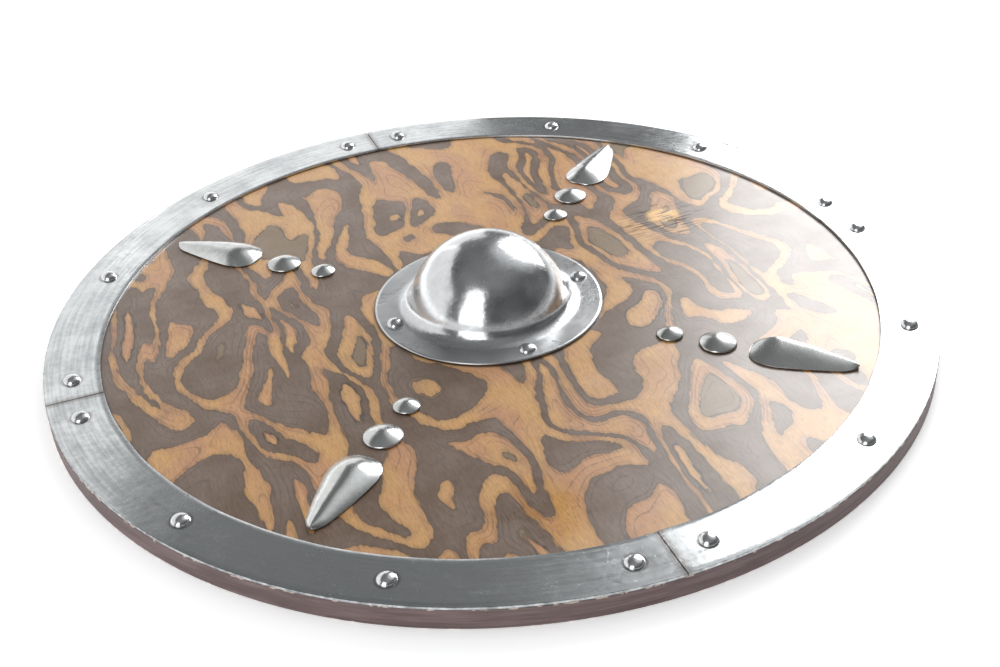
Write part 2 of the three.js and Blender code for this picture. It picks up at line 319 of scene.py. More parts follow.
def room(world):
    """The rest of the studio: dim, with vague shapes, pale low down and high on the right."""
    world.use_nodes = True
    shader = Shader(world.node_tree)
    toward = shader.add("ShaderNodeTexCoord", output="Generated")
    x, y, z = shader.along(toward)
    pale_side = shader.ease(y - x * 0.6, -0.8, 0.2) * 0.55 + 0.4
    horizon = (1 - shader.ease(z, 0.02, 0.15)) * pale_side
    shapes = shader.noise(toward, (0.55, 0.55, 0.35), detail=2, seed=3)
    wall_x, wall_y, wall_z = WALL_TOWARD
    wall = shader.ease(x * wall_x + y * wall_y + z * wall_z, 0.86, 1.0) * WALL_GLOW
    ceiling = shader.ease(z, 0.75, 1.0) * CEILING_GLOW
    shapes = shader.ease(shapes, -0.9, 1.1) * SHAPES_GLOW
    brightness = shapes + horizon + wall + ceiling + ROOM_DARK
    background = world.node_tree.nodes["Background"]
    shader.plug(background, {"Strength": brightness, "Color": ROOM_TINT})


world = bpy.data.worlds.new("studio")
scene.world = world
room(world)
panel_light("soft_box", azimuth=55, distance=1.55, bottom=0.40, top=1.60, width=0.95, radiance=9.0)
panel_light("reflector", azimuth=-50, distance=1.50, bottom=0.0, top=1.56, width=3.10, radiance=0.95)
panel_light("low_reflector", azimuth=6, distance=1.50, bottom=0.0, top=0.90, width=0.75, radiance=1.0)
panel_light("window", azimuth=-134, distance=2.20, bottom=0.25, top=3.0, width=1.35, radiance=2.6)
overhead_light(height=3.2, size=4.0, radiance=0.75)


def make_floor():
    finish = Finish("pale_floor")
    cloudy = finish.noise(finish.place(), (420, 420, 420), detail=3, seed=5)
    colour = finish.mix(finish.ease(cloudy, -1.0, 1.0), *FLOOR_WHITES)
    glow = {"Emission Color": (1.0, 1.0, 1.0), "Emission Strength": FLOOR_GLOW}
    bm = bmesh.new()
    bmesh.ops.create_grid(bm, x_segments=8, y_segments=8, size=FLOOR_HALF)
    bmesh.ops.translate(bm, verts=bm.verts, vec=(0, 0, -FLOOR_GAP))
    floor = as_object("floor", bm)
    floor.data.materials.append(finish.surface({"Base Color": colour, "Roughness": 0.9, **glow}))


make_floor()

# %% [markdown]
# ## From a bmesh to a piece
#
# Every piece goes the same way: its bmesh becomes a mesh with smooth shading and sharp edges,
# the object rides on the frame's only body, hides the construction solids that it stands for,
# and gets the material of its finish. The small modelling steps that repeat, such as
# turning a profile about the axis, are helpers too.

# %% Helpers for modelling
WHOLE_TURN = 2 * pi
ORIGIN = Vector((0, 0, 0))
UP = Vector((0, 0, 1))
TOUCHING = 0.01 * MM  # what is nearer than this counts as being in the same place
WELD = 0.001 * MM  # what is nearer than this is joined
RIPPLE_STEP = (7.3, 3.9, 5.1)  # how far one seed moves a ripple from the next
RIPPLE_GAIN = 1.6


def finish_piece(name, bm, stands_for, material, sharp=38):
    """Make a piece of the shield. Edges that turn by more than sharp degrees stay hard."""
    piece = as_object(name, bm)
    piece.data.shade_smooth()
    piece.data.set_sharp_from_angle(angle=radians(sharp))
    piece.data.materials.append(material)
    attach(piece, "root")
    if stands_for:
        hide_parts(*stands_for)
    return piece


def draw_line(bm, points):
    """A chain of edges through the points. Returns its last vertex."""
    chain = [bm.verts.new(point) for point in points]
    for start, end in zip(chain, chain[1:]):
        bm.edges.new((start, end))
    return chain[-1]


def sweep_arc(bm, vertex, centre, angle, steps):
    """Continue a chain in the XZ plane with an arc about a centre. Returns its last vertex."""
    swept = bmesh.ops.spin(
        bm, geom=[vertex], cent=centre, axis=(0, 1, 0), angle=angle, steps=steps, use_merge=False
    )
    return next(item for item in swept["geom_last"] if isinstance(item, bmesh.types.BMVert))


def bevel(bm, parts, offset, segments, affect="VERTICES"):
    """Round off the corners of an outline, or edges."""
    bmesh.ops.bevel(
        bm,
        geom=parts,
        offset=offset,
        offset_type="OFFSET",
        segments=segments,
        profile=0.5,
        affect=affect,
        material=-1,
    )


def turn_about_axis(bm, steps):
    """Turn the whole outline into a body of revolution with closed seam and poles.

    Spin slows down as the mesh grows, so it makes an eighth, which is doubled three times.
    """
    eighth = WHOLE_TURN / 8
    outline = bm.verts[:] + bm.edges[:]
    bmesh.ops.spin(
        bm, geom=outline, cent=ORIGIN, axis=UP, angle=eighth, steps=steps // 8, use_merge=False
    )
    for doubling in (1, 2, 4):
        whole = bm.verts[:] + bm.edges[:] + bm.faces[:]
        copied = bmesh.ops.duplicate(bm, geom=whole)["geom"]
        corners = [item for item in copied if isinstance(item, bmesh.types.BMVert)]
        turn = Matrix.Rotation(eighth * doubling, 3, "Z")
        bmesh.ops.rotate(bm, verts=corners, cent=ORIGIN, matrix=turn)
    bmesh.ops.remove_doubles(bm, verts=bm.verts, dist=WELD)
    bmesh.ops.recalc_face_normals(bm, faces=bm.faces)


def solidify(piece, thickness):
    """Give a sheet its thickness, inwards from the surface that was modelled."""
    wall = piece.modifiers.new("sheet", "SOLIDIFY")
    wall.thickness = thickness
    wall.offset = -1
    wall.use_even_offset = True


def ripple(point, size, seed):
    """Smooth random values between about -1 and 1, the same on every run."""
    moved = point / size + Vector([seed * step for step in RIPPLE_STEP])
    return noise.noise(moved) * RIPPLE_GAIN


# %% [markdown]
# ## The figure of the veneer
#
# The veneer is sliced from a block of thin pale and brown layers that lie in folds. Where the
# knife meets the folds it opens the layers like the height lines on a map: long strands along
# the fibres, hairpins, closed loops, and eyes at the tops and bottoms of the folds. The figure
# is worked out in the same way, so nothing is drawn. Noise that is bent by more noise gives the
# height of the folds, and its height lines are the layers. A height that is divided by the slope
# of the fold is a distance, so a border is as crisp on a gentle fold as on a steep one. A few
# broad areas hold more of the pale wood or more of the brown. One wave texture would be shorter,
# but its bands are all as wide, and they never close to loops and eyes.

# %% Fold the layers
FOLD_SIZE = (40, 118, 40)  # mm across the fibres, along them and through the sheet
BEND_SIZE = (80, 105, 80)
BEND = (95, 150, 0)  # how far the folds are bent, in mm from one extreme to the other
LAYERS_PER_FOLD = 0.95
PALE_SHARE = 0.48
LAYERS_UNDER = 20  # whole layers added to a height, so that ping-pong never meets one below 0
PALE_SHIFT = 0.25  # how far the middle of a pale layer lies under a whole height, in layers
SLOPE_STEP = 0.6  # mm between the two heights that a slope is measured from
LEAST_SLOPE = 0.008  # layers in each mm
BEND_SHIFT = (4.0, 9.0, 2.0)
BROAD_AREAS = [  # middle and radius in mm, and how much more of the wood there is pale
    ((100, 230), 150, 0.16),
    ((20, -160), 130, 0.16),
    ((-100, 300), 110, 0.14),
    ((-240, 220), 120, -0.14),
    ((260, 20), 150, -0.12),
]


def fold_height(finish, place):
    """How high the folded layers stand under each point, counted in layers."""
    moved = place / BEND_SIZE + BEND_SHIFT
    sockets = {"Vector": moved, "Scale": 1.0, "Detail": 0.6, "Roughness": 0.5}
    swirl = finish.add("ShaderNodeTexNoise", {}, sockets, "Color")
    bent = place + (swirl - (0.5, 0.5, 0.5)) * BEND
    return finish.noise(bent, FOLD_SIZE, detail=0, seed=3) * LAYERS_PER_FOLD


def broad_areas(finish, place):
    """How much more of the wood is pale, from the broad areas."""
    x, y, _ = finish.along(place)
    more = 0.0
    for (middle_x, middle_y), radius, amount in BROAD_AREAS:
        away = finish.distance(x - middle_x, y - middle_y)
        more = (1 - finish.ease(away, radius * 0.3, radius)) * amount + more
    return more


def to_nearest(finish, height, shift, half_step):
    """How far a height is from the nearest of many evenly spaced ones, in layers."""
    lifted = height + (LAYERS_UNDER + shift)
    return finish.add("ShaderNodeMath", {"operation": "PINGPONG"}, {0: lifted, 1: half_step})


def sliced_folds(finish, place):
    """The height and slope of the folds, and how far inside pale wood each point lies, in mm."""
    height = fold_height(finish, place)
    slope_x = (fold_height(finish, place + (SLOPE_STEP, 0, 0)) - height) / SLOPE_STEP
    slope_y = (fold_height(finish, place + (0, SLOPE_STEP, 0)) - height) / SLOPE_STEP
    slope = finish.larger(finish.distance(slope_x, slope_y), LEAST_SLOPE)
    from_pale = to_nearest(finish, height, PALE_SHIFT, half_step=0.5)
    half_share = (broad_areas(finish, place) + PALE_SHARE) / 2
    return height, slope, (half_share - from_pale) / slope


# %% [markdown]
# ## The veneer's finish
#
# Noise that is stretched along the fibres jags the borders, as a knife through wavy layers does.
# Pale wood shows where the depth is above 0 and brown wood where it is below, and the eyes are
# olive. A thin dark line marks each border, and in places finer lines follow the layers, like
# growth rings. Fine fibres and dark pores lie over everything, and shade is painted as a dark band
# on the veneer along the edges of the rim and the boss. The varnish is satin, with a run of
# thicker, glossier varnish near the front edge and a scuffed patch on the right, where something
# has rubbed through to the bare wood.

# %% Make the veneer
AMBER = (0.46, 0.255, 0.095)
ROSY_AMBER = (0.40, 0.205, 0.10)
WALNUT = (0.122, 0.074, 0.046)
GREY_WALNUT = (0.148, 0.104, 0.078)
OLIVE_WOOD = (0.185, 0.130, 0.060)
RING_LINE = (0.045, 0.026, 0.016)
BARE_WOOD = (0.72, 0.44, 0.16)
SCRATCH_DIRT = (0.04, 0.026, 0.018)
EYE_HEIGHT = 0.98  # layers from the middle height, beyond which the brown wood is olive
RING_SHIFT = 0.1  # moves the ring lines against the borders, in layers
RING_HALF_STEP = 0.09  # half the way from one ring line to the next, in layers
SHADE_REACH = (2.2, 3.0)  # mm from the rim and from the boss, over which shade is painted on the veneer
GLOSSY_RUN = ((-75, -295), (65, 50))  # middle and half sizes, mm
SCUFF = ((215, 65), (60, 50))
RUBBED_BARE = ((220, 75), (20, 15))


def patch(finish, place, middle_and_halves, ragged, inner=0.55):
    """A mask for a ragged oval patch: 1 inside, and 0 outside. It falls from inner outwards."""
    (cx, cy), (half_x, half_y) = middle_and_halves
    x, y, _ = finish.along(place)
    out = finish.distance((x - cx) / half_x, (y - cy) / half_y)
    return 1 - finish.ease(out + ragged, inner, 1.1)


def thin_line(finish, distance, width, strength):
    """A dark line where a distance is near 0 mm."""
    return (1 - finish.ease(abs(distance), width * 0.3, width)) * strength


def wood_colour(finish, depth, eye_depth, fibre, clouds):
    """The amber, walnut and olive wood, and a mask for the amber."""
    amber = finish.mix(finish.ease(clouds, -0.7, 0.9), AMBER, ROSY_AMBER)
    from_border = finish.ease(depth, 0, 6) * 0.24 + 0.84
    amber = amber * (from_border + fibre * 0.22)
    walnut = finish.mix(finish.ease(clouds, -0.8, 0.8), WALNUT, GREY_WALNUT)
    walnut = walnut * (1.0 + fibre * 0.30 + clouds * 0.10)
    in_pale = finish.ease(depth, -0.8, 0.8)
    in_eye = finish.ease(eye_depth, -1.0, 1.0) * (1 - in_pale)
    colour = finish.mix(in_pale, walnut, amber)
    olive = finish.mix(0.5, walnut, OLIVE_WOOD) * 1.15
    return finish.mix(in_eye, colour, olive), in_pale


def dark_lines(finish, from_ring, depth, eye_depth, in_pale, clouds):
    """The thin lines along the borders and round the eyes, and the growth rings."""
    lines = thin_line(finish, depth + 0.3, 1.2, 0.5)
    lines = lines + thin_line(finish, eye_depth, 1.5, 0.5) * (1 - in_pale)
    rings = thin_line(finish, from_ring, 0.9, 0.4)
    return finish.larger(lines, rings * finish.ease(clouds, -0.5, 0.6))


def painted_shade_at_edges(finish, place):
    """A mask for the shade that is painted on the veneer along the edges of the rim and the boss."""
    x, y, _ = finish.along(place)
    radius = finish.distance(x, y)
    from_rim, from_boss = SHADE_REACH
    under_rim = finish.ease(radius, RIM_INNER / MM - from_rim, RIM_INNER / MM)
    under_boss = 1 - finish.ease(radius, BOSS_RADIUS / MM, BOSS_RADIUS / MM + from_boss)
    return finish.larger(under_rim, under_boss)


def veneer():
    finish = Finish("figured_veneer")
    place = finish.place()
    jag = finish.noise(place, (2.2, 15, 5), detail=0, seed=1) * 0.8
    wobble = finish.noise(place, (9, 15, 9), detail=0, seed=2) * 1.3
    fibre = finish.noise(place, (0.7, 9, 1), detail=2, seed=5)
    pores = finish.ease(finish.noise(place, (0.55, 5, 1), detail=0, seed=6), 0.6, 1.1)
    clouds = finish.noise(place, (30, 55, 30), detail=1, seed=7)
    across = finish.noise(place, (26, 2.2, 5), detail=1, seed=8)
    pooled = finish.noise(place, (30, 45, 30), detail=1, seed=9)
    smears = finish.noise(place, (38, 16, 30), detail=4, seed=10, rough=0.65)

    height, slope, sliced = sliced_folds(finish, place)
    depth = sliced + wobble + jag
    eye_depth = (abs(height) - EYE_HEIGHT) / slope + wobble + jag
    from_ring = to_nearest(finish, height, RING_SHIFT, RING_HALF_STEP) / slope + jag * 0.4
    colour, in_pale = wood_colour(finish, depth, eye_depth, fibre, clouds)
    lines = dark_lines(finish, from_ring, depth, eye_depth, in_pale, clouds)
    colour = finish.mix(lines, colour, RING_LINE)
    colour = finish.mix(pores * 0.35, colour, RING_LINE)
    # Painted shade: the veneer is darkened beside the rim and the boss, where they would shade it.
    colour = finish.mix(painted_shade_at_edges(finish, place) * 0.75, colour, RING_LINE)

    scuff = patch(finish, place, SCUFF, across * 0.25)
    scratched = scuff * finish.ease(across, 0.1, 0.5)
    colour = finish.mix(scratched * 0.85, colour, SCRATCH_DIRT)
    bare = patch(finish, place, RUBBED_BARE, fibre * 0.2) * finish.ease(across, -0.5, 0.1)
    colour = finish.mix(bare, colour, BARE_WOOD)

    run = patch(finish, place, GLOSSY_RUN, pooled * 0.2, 0.1)
    sockets = {"Saturation": 1.15, "Value": 0.90, "Color": colour}
    deep = finish.add("ShaderNodeHueSaturation", {}, sockets)
    satin = 0.41 + smears * 0.07 + fibre * 0.03 + scratched * 0.25
    return finish.surface({
        "Base Color": finish.mix(run, colour, deep),
        "Roughness": satin - run * 0.16,
        "Coat Weight": 0.64 + smears * 0.34 + run * 0.3 - scratched * 0.6,
        "Coat Roughness": 0.31,
        "Normal": finish.bump(fibre * 0.02 + smears * 0.02, 0.7),
    })


# %% [markdown]
# ## The board's paint
#
# The edge, the back and the inside of the hand hole wear one coat of mauve-brown paint. Paint
# shows brush marks along the stroke: round the edge, and straight across the back. It chips
# first along a corner, where the pale wood comes through. How close a point is to a corner could
# be stored on the vertices, but the back's faces are large and would smear it inwards, so the
# shader works it out from the point's own place.

# %% Make the paint
PAINT = (0.095, 0.056, 0.055)
PAINT_FADED = (0.185, 0.128, 0.125)
PALE_WOOD = (0.60, 0.50, 0.42)
SIDE_RADIUS = BOARD_RADIUS - 0.05 * MM  # keeps the side inside the construction model's box
GRIME = (0.07, 0.05, 0.045)
CORNER_REACH = 2.2  # mm from a corner beyond which the paint doesn't chip


def near_corner(finish, place):
    """1 on the board's outer corners, falling to 0 a little way from them."""
    x, y, z = finish.along(place)
    from_side = SIDE_RADIUS / MM - finish.distance(x, y)
    from_faces = finish.smaller(z, FACE / MM - z)
    away = finish.distance(from_side, from_faces)
    return finish.larger(1 - away / CORNER_REACH, 0.0)


def paint():
    finish = Finish("mauve_paint")
    place = finish.place()
    _, _, z = finish.along(place)
    corner = near_corner(finish, place)
    on_back = 1 - finish.ease(z, 0.2, 0.9)
    clouds = finish.noise(place, (60, 60, 8), detail=3, seed=11)
    round_edge = finish.noise(place, (34, 34, 1.4), detail=3, seed=12)
    across_back = finish.noise(place, (190, 2.6, 9), detail=3, seed=16)
    strokes = round_edge * (1 - on_back) + across_back * on_back
    faded = finish.ease(clouds * (1 - on_back * 0.6) + strokes * 0.8, -1.0, 1.3)
    colour = finish.mix(faded, PAINT, PAINT_FADED)
    specks = finish.noise(place, (2.2, 2.2, 2.2), detail=2, seed=13)
    flakes = finish.noise(place, (7, 7, 3.5), detail=3, seed=14)
    chips = finish.ease(flakes + corner * 1.7, 1.5, 1.7)
    chips = finish.larger(chips, finish.ease(specks, 1.35, 1.5) * (1 - on_back))
    grime = finish.ease(finish.noise(place, (35, 35, 12), detail=3, seed=15), 0.3, 1.4)
    colour = finish.mix(grime * 0.35, colour, GRIME)
    colour = finish.mix(chips, colour, PALE_WOOD)
    height = strokes * 0.03 - chips * 0.12 + specks * 0.02
    return finish.surface({
        "Base Color": colour,
        "Roughness": 0.52 + clouds * 0.06 + chips * 0.25,
        "Normal": finish.bump(height),
    })


# %% [markdown]
# ## The board
#
# A round board could start as a cylinder, but it is easier to draw half of its section once, as
# a flat outline, and to spin that about the axis. The outline's corners are rounded with a
# vertex bevel. The veneer is a sheet of its own, glued into a shallow step that the rim hides,
# so the board itself needs few rings. The housing of the grip and the rivet holes are cut with a
# Boolean modifier, the one tool that joins them cleanly to the rings.

# %% Turn the board
BOARD_STEPS = 480
CORNER_ROUNDING = 0.9 * MM
CORNER_SEGMENTS = 3
VENEER_SHEET = 0.6 * MM
VENEER_RADIUS = RIM_INNER + 5 * MM
RIVET_HOLE_RADIUS = 3.35 * MM
HOUSING_CLEARANCE = 0.3 * MM
SIDE_RINGS = 5
POST_SIDES = 20
BEYOND = 10 * MM  # how far a cutter reaches out of what it cuts


def rivet_names():
    on_rim = [
        f"rim_rivet_{segment}_{i}"
        for segment in range(1, SEGMENTS + 1)
        for i in range(1, RIVETS_PER_SEGMENT + 1)
    ]
    return on_rim + [f"boss_rivet_{i}" for i in range(1, SEGMENTS + 1)]


def board_blank():
    bm = bmesh.new()
    outline = [
        (HAND_HOLE_RADIUS, 0, 0),
        (SIDE_RADIUS, 0, 0),
        (SIDE_RADIUS, 0, FACE),
        (VENEER_RADIUS, 0, FACE),
        (VENEER_RADIUS, 0, FACE - VENEER_SHEET),
        (HAND_HOLE_RADIUS, 0, FACE - VENEER_SHEET),
    ]
    corners = [bm.verts.new(point) for point in outline]
    bm.faces.new(corners)
    bevel(bm, corners[:3], CORNER_ROUNDING, CORNER_SEGMENTS)
    bmesh.ops.delete(bm, geom=bm.faces[:], context="FACES_ONLY")
    side = SIDE_RADIUS - TOUCHING
    outer = [edge for edge in bm.edges if all(end.co.x > side for end in edge.verts)]
    bmesh.ops.subdivide_edges(bm, edges=outer, cuts=SIDE_RINGS)
    turn_about_axis(bm, BOARD_STEPS)
    return bm


def through_grip(name):
    """Whether a rivet passes through the grip instead of the board's back."""
    place = middle(name)
    low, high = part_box("grip")
    return low.x < place.x < high.x and low.y < place.y < high.y


def add_posts(bm, names):
    """A post for the hole of each rivet."""
    for name in names:
        place = middle(name)
        bmesh.ops.create_cone(
            bm,
            cap_ends=True,
            segments=POST_SIDES,
            radius1=RIVET_HOLE_RADIUS,
            radius2=RIVET_HOLE_RADIUS,
            depth=FACE + 2 * BEYOND,
            matrix=Matrix.Translation((place.x, place.y, FACE / 2)),
        )


def board_cutter():
    """Everything that is cut out of the board: the grip's housing and the rivet holes."""
    bm = bmesh.new()
    grip_low, grip_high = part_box("grip")
    low = Vector((grip_low.x - HOUSING_CLEARANCE, grip_low.y - HOUSING_CLEARANCE, -BEYOND))
    high = grip_high + Vector((1, 1, 1)) * HOUSING_CLEARANCE
    size = high - low
    block = Matrix.Translation((low + high) / 2) @ Matrix.Diagonal((*size, 1))
    bmesh.ops.create_cube(bm, size=1, matrix=block)
    add_posts(bm, [name for name in rivet_names() if not through_grip(name)])
    return bm


def cut_away(piece, bm):
    """Cut the shape of a bmesh out of the piece for good."""
    tool = as_object("cutter", bm)
    modifier = piece.modifiers.new("cut", "BOOLEAN")
    modifier.operation = "DIFFERENCE"
    modifier.solver = "EXACT"
    modifier.object = tool
    evaluated = piece.evaluated_get(bpy.context.evaluated_depsgraph_get())
    done = bpy.data.meshes.new_from_object(evaluated)
    piece.modifiers.clear()
    piece.data = done
    bpy.data.objects.remove(tool)


board = finish_piece("painted_board", board_blank(), ["board"], paint())
cut_away(board, board_cutter())
print("board:", len(board.data.polygons), "faces")

# %% [markdown]
# ## The veneer sheet
#
# The veneer could be a second material on the board's top faces, but as a thin ring of its own
# it is the separate sheet that a maker glues on, and it has rings where it needs them. Its
# section is drawn and spun like the board's, and its top is divided into rings, so that a low
# ripple can imitate a face that was scraped by hand.

# %% Lay the veneer
VENEER_STEPS = 256
FACE_RINGS = 30
SCRAPED_SIZE = 70 * MM
SCRAPED_DEPTH = 0.08 * MM
HIDDEN_BY_BOSS = BOSS_RADIUS - 6 * MM
SHARED_FACE_GAP = 0.02 * MM


def veneer_sheet():
    bm = bmesh.new()
    under = FACE - VENEER_SHEET + SHARED_FACE_GAP
    outer = VENEER_RADIUS - SHARED_FACE_GAP
    outline = [
        (HAND_HOLE_RADIUS, 0, under),
        (outer, 0, under),
        (outer, 0, FACE),
        (HIDDEN_BY_BOSS, 0, FACE),
        (HAND_HOLE_RADIUS, 0, FACE),
    ]
    last = draw_line(bm, outline)
    bm.verts.ensure_lookup_table()
    bm.edges.new((last, bm.verts[0]))
    width = outer - HIDDEN_BY_BOSS
    shown = [edge for edge in bm.edges if abs(edge.calc_length() - width) < TOUCHING]
    bmesh.ops.subdivide_edges(bm, edges=shown, cuts=FACE_RINGS)
    turn_about_axis(bm, VENEER_STEPS)
    for vertex in bm.verts:
        if vertex.co.z > FACE - TOUCHING:
            vertex.co.z += (ripple(vertex.co, SCRAPED_SIZE, seed=71) - 1) * SCRAPED_DEPTH
    return bm


sheet = finish_piece("face_veneer", veneer_sheet(), [], veneer())
print("veneer:", len(sheet.data.polygons), "faces")

# %% [markdown]
# ## Steel finishes
#
# The rim, the boss, the rivets and the ornaments are all bare steel, so they share one recipe: a
# metallic shader whose roughness does most of the talking. Soft clouds of handling marks change
# the roughness, two fields of stretched noise make scratches in two directions, and tiny nicks
# scatter a little more light. Rare specks of rust are brown, rough and hardly metallic. The
# recipe takes the amounts, and each kind of piece asks for its own. The rim has brush marks
# along it and dirt at its joints and its rivets, and a dark reflection is painted along its outer
# edge, where the rounded edge would mirror a darker part of the room.

# %% Make the steels
RUST = (0.10, 0.055, 0.035)
# The colour of the dark reflection that is painted on the rim's outer edge.
PAINTED_EDGE_REFLECTION = (0.035, 0.036, 0.038)
RIVET_ANGLES = (4.5, 31.5)  # degrees from the nearest joint of the rim
SEGMENT_ANGLE = 360 / SEGMENTS
FLANGE_START = 72  # mm from the axis, where the boss starts to be less polished
FLANGE_EASE = 12  # mm over which it gets so
JOINT_GRIME = (0.4, 7.0)  # mm from a joint where the dirt is thickest, and where it ends
RIVET_GRIME = (8.3, 11.0)  # the same from the middle of a rivet
EDGE_REFLECTION_REACH = (0.3, 1.5)  # mm from the outer edge where the painted dark reflection is strongest, and where it ends


def scratches(finish, place, size, seed, turn, keep):
    """Thin lines of one direction. The turn is in degrees, and keep is how few there are."""
    turned = finish.add(
        "ShaderNodeMapping", {}, {"Vector": place, "Rotation": (0.0, 0.0, radians(turn))}
    )
    lines = finish.noise(turned, size, detail=0, seed=seed)
    return finish.ease(lines, keep, keep + 0.45)


def steel(finish, colour, dull, rough, cloud, scratch, rust, dents, grime=0.0, edge=0.0, brush=0.0):
    """The shared recipe.

    Grime is a mask for dirt beside other pieces, and edge is a mask for a dark reflection that
    is painted on edges. Brush is noise that follows the direction in which a piece was brushed,
    or dulls a whole area.
    """
    place = finish.place()
    clouds = finish.noise(place, (38, 38, 38), detail=3, seed=21, rough=0.62)
    mottle = finish.noise(place, (6, 6, 6), detail=2, seed=22, rough=0.6)
    lines = scratches(finish, place, (0.8, 22, 3), seed=23, turn=28, keep=0.85)
    lines = lines + scratches(finish, place, (16, 0.7, 3), seed=24, turn=-17, keep=0.9)
    specks = finish.ease(finish.noise(place, (1.9, 1.9, 1.9), detail=0, seed=25), 1.0, 1.3)
    spots = specks * finish.ease(clouds, 0.2, 1.0) * rust
    rusted = finish.larger(spots, finish.ease(mottle + grime * 1.6, 2.0, 2.6) * grime)
    tone = finish.mix(finish.ease(clouds + mottle * 0.35 + brush, -1.2, 1.3), colour, dull)
    tone = finish.mix(finish.larger(grime * 0.45, rusted), tone, RUST)
    # Painted dark reflection: the edge mask darkens a rounded edge where it would mirror a darker part
    # of the room.
    tone = finish.mix(finish.ease(edge + mottle * 0.4, 0.2, 0.9) * edge, tone, PAINTED_EDGE_REFLECTION)
    nicks = finish.ease(finish.noise(place, (1.1, 2.4, 1.4), detail=1, seed=27), 0.95, 1.25)
    roughness = rough + (clouds + mottle * 0.45 + brush) * cloud + nicks * 0.12
    height = clouds * dents + mottle * dents * 0.16
    return finish.surface({
        "Base Color": tone,
        "Metallic": 1 - rusted * 0.8,
        "Roughness": roughness + lines * 0.14 * scratch + rusted * 0.4,
        "Normal": finish.bump(height),
    })


def rim_dirt_and_edge_reflection(finish):
    """Masks for dirt at joints and rivets and for a dark reflection painted on the edge, and brushed
    noise.

    The angle is folded into one eighth of the rim, because each half of a segment is alike.
    """
    x, y, _ = finish.along(finish.place())
    angle = finish.add("ShaderNodeMath", {"operation": "ARCTAN2"}, {0: y, 1: x}) * degrees(1)
    joint = degrees(atan2(JOINT_PLACE.y, JOINT_PLACE.x))
    folded = finish.add(
        "ShaderNodeMath", {"operation": "PINGPONG"}, {0: angle - joint + 360.0, 1: SEGMENT_ANGLE / 2}
    )
    radius = finish.distance(x, y)
    mm_per_degree = RIM_MIDDLE / MM * radians(1)
    grime = 1 - finish.ease(folded * mm_per_degree, *JOINT_GRIME)
    for rivet_angle in RIVET_ANGLES:
        away = finish.distance((folded - rivet_angle) * mm_per_degree, radius - RIM_MIDDLE / MM)
        grime = finish.larger(grime, 1 - finish.ease(away, *RIVET_GRIME))
    # A dark reflection is painted on the rim's outer edge, where its rounded edge mirrors a darker
    # part of the room.
    edge = (1 - finish.ease(RIM_OUTER / MM - radius, *EDGE_REFLECTION_REACH)) * 0.55
    round_the_rim = finish.add("ShaderNodeCombineXYZ", {}, {0: folded * mm_per_degree, 1: radius})
    return grime, edge, finish.noise(round_the_rim, (48, 2.6, 1), detail=3, seed=26)


def rim_steel():
    finish = Finish("rim_steel")
    grime, edge, brush = rim_dirt_and_edge_reflection(finish)
    return steel(
        finish,
        colour=(0.70, 0.72, 0.725),
        dull=(0.50, 0.52, 0.53),
        rough=0.20,
        cloud=0.07,
        scratch=0.2,
        rust=1.3,
        dents=0.05,
        grime=grime,
        edge=edge,
        brush=brush * 0.8,
    )


def boss_steel():
    finish = Finish("boss_steel")
    x, y, _ = finish.along(finish.place())
    on_flange = finish.ease(finish.distance(x, y), FLANGE_START, FLANGE_START + FLANGE_EASE)
    return steel(
        finish,
        colour=(0.68, 0.69, 0.70),
        dull=(0.54, 0.55, 0.56),
        rough=0.20,
        cloud=0.06,
        scratch=0.65,
        rust=0.5,
        dents=0.14,
        brush=on_flange * 1.5,
    )


def rivet_steel():
    return steel(
        Finish("rivet_steel"),
        colour=(0.72, 0.73, 0.74),
        dull=(0.60, 0.61, 0.62),
        rough=0.21,
        cloud=0.03,
        scratch=0.5,
        rust=0.4,
        dents=0.05,
    )


def ornament_steel():
    return steel(
        Finish("ornament_steel"),
        colour=(0.67, 0.68, 0.67),
        dull=(0.50, 0.51, 0.50),
        rough=0.235,
        cloud=0.06,
        scratch=0.4,
        rust=0.6,
        dents=0.085,
    )


# %% [markdown]
# ## The rim
#
# Each rim segment is a quarter of a flat ring of sheet steel, cut with snips and filed, so its
# inner edge wanders a little and the sheet isn't quite flat: where it bows, it mirrors another
# part of the room, and that gives a flat rim its changing tones. It could be a curve with a
# profile, but a section that is drawn as a face and spun through the segment's angle gets its
# two end faces as well. Then smooth noise moves the inner edge in and out and bows the sheet,
# but only upwards, so that the steel never sinks into the wood.

# %% Bend the rim segments
RIM_STEPS = 110
RIM_CUTS = 9  # across its width
RIM_EDGE = 0.35 * MM
BOW_SIZE = 95 * MM
BOW_HEIGHT = 0.28 * MM
FILING_SIZE = 38 * MM
FILING_DEPTH = 0.35 * MM


def joint_angles(segment):
    """The angles at which a segment of the rim starts and ends, measured on its middle line."""
    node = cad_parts[f"rim_segment_{segment}"]
    centre = middle(f"rim_segment_{segment}")
    heading = atan2(centre.y, centre.x)
    turns = [
        (atan2(corner.co.y, corner.co.x) - heading + pi) % WHOLE_TURN - pi
        for corner in node.data.vertices
    ]
    return heading + min(turns), heading + max(turns)


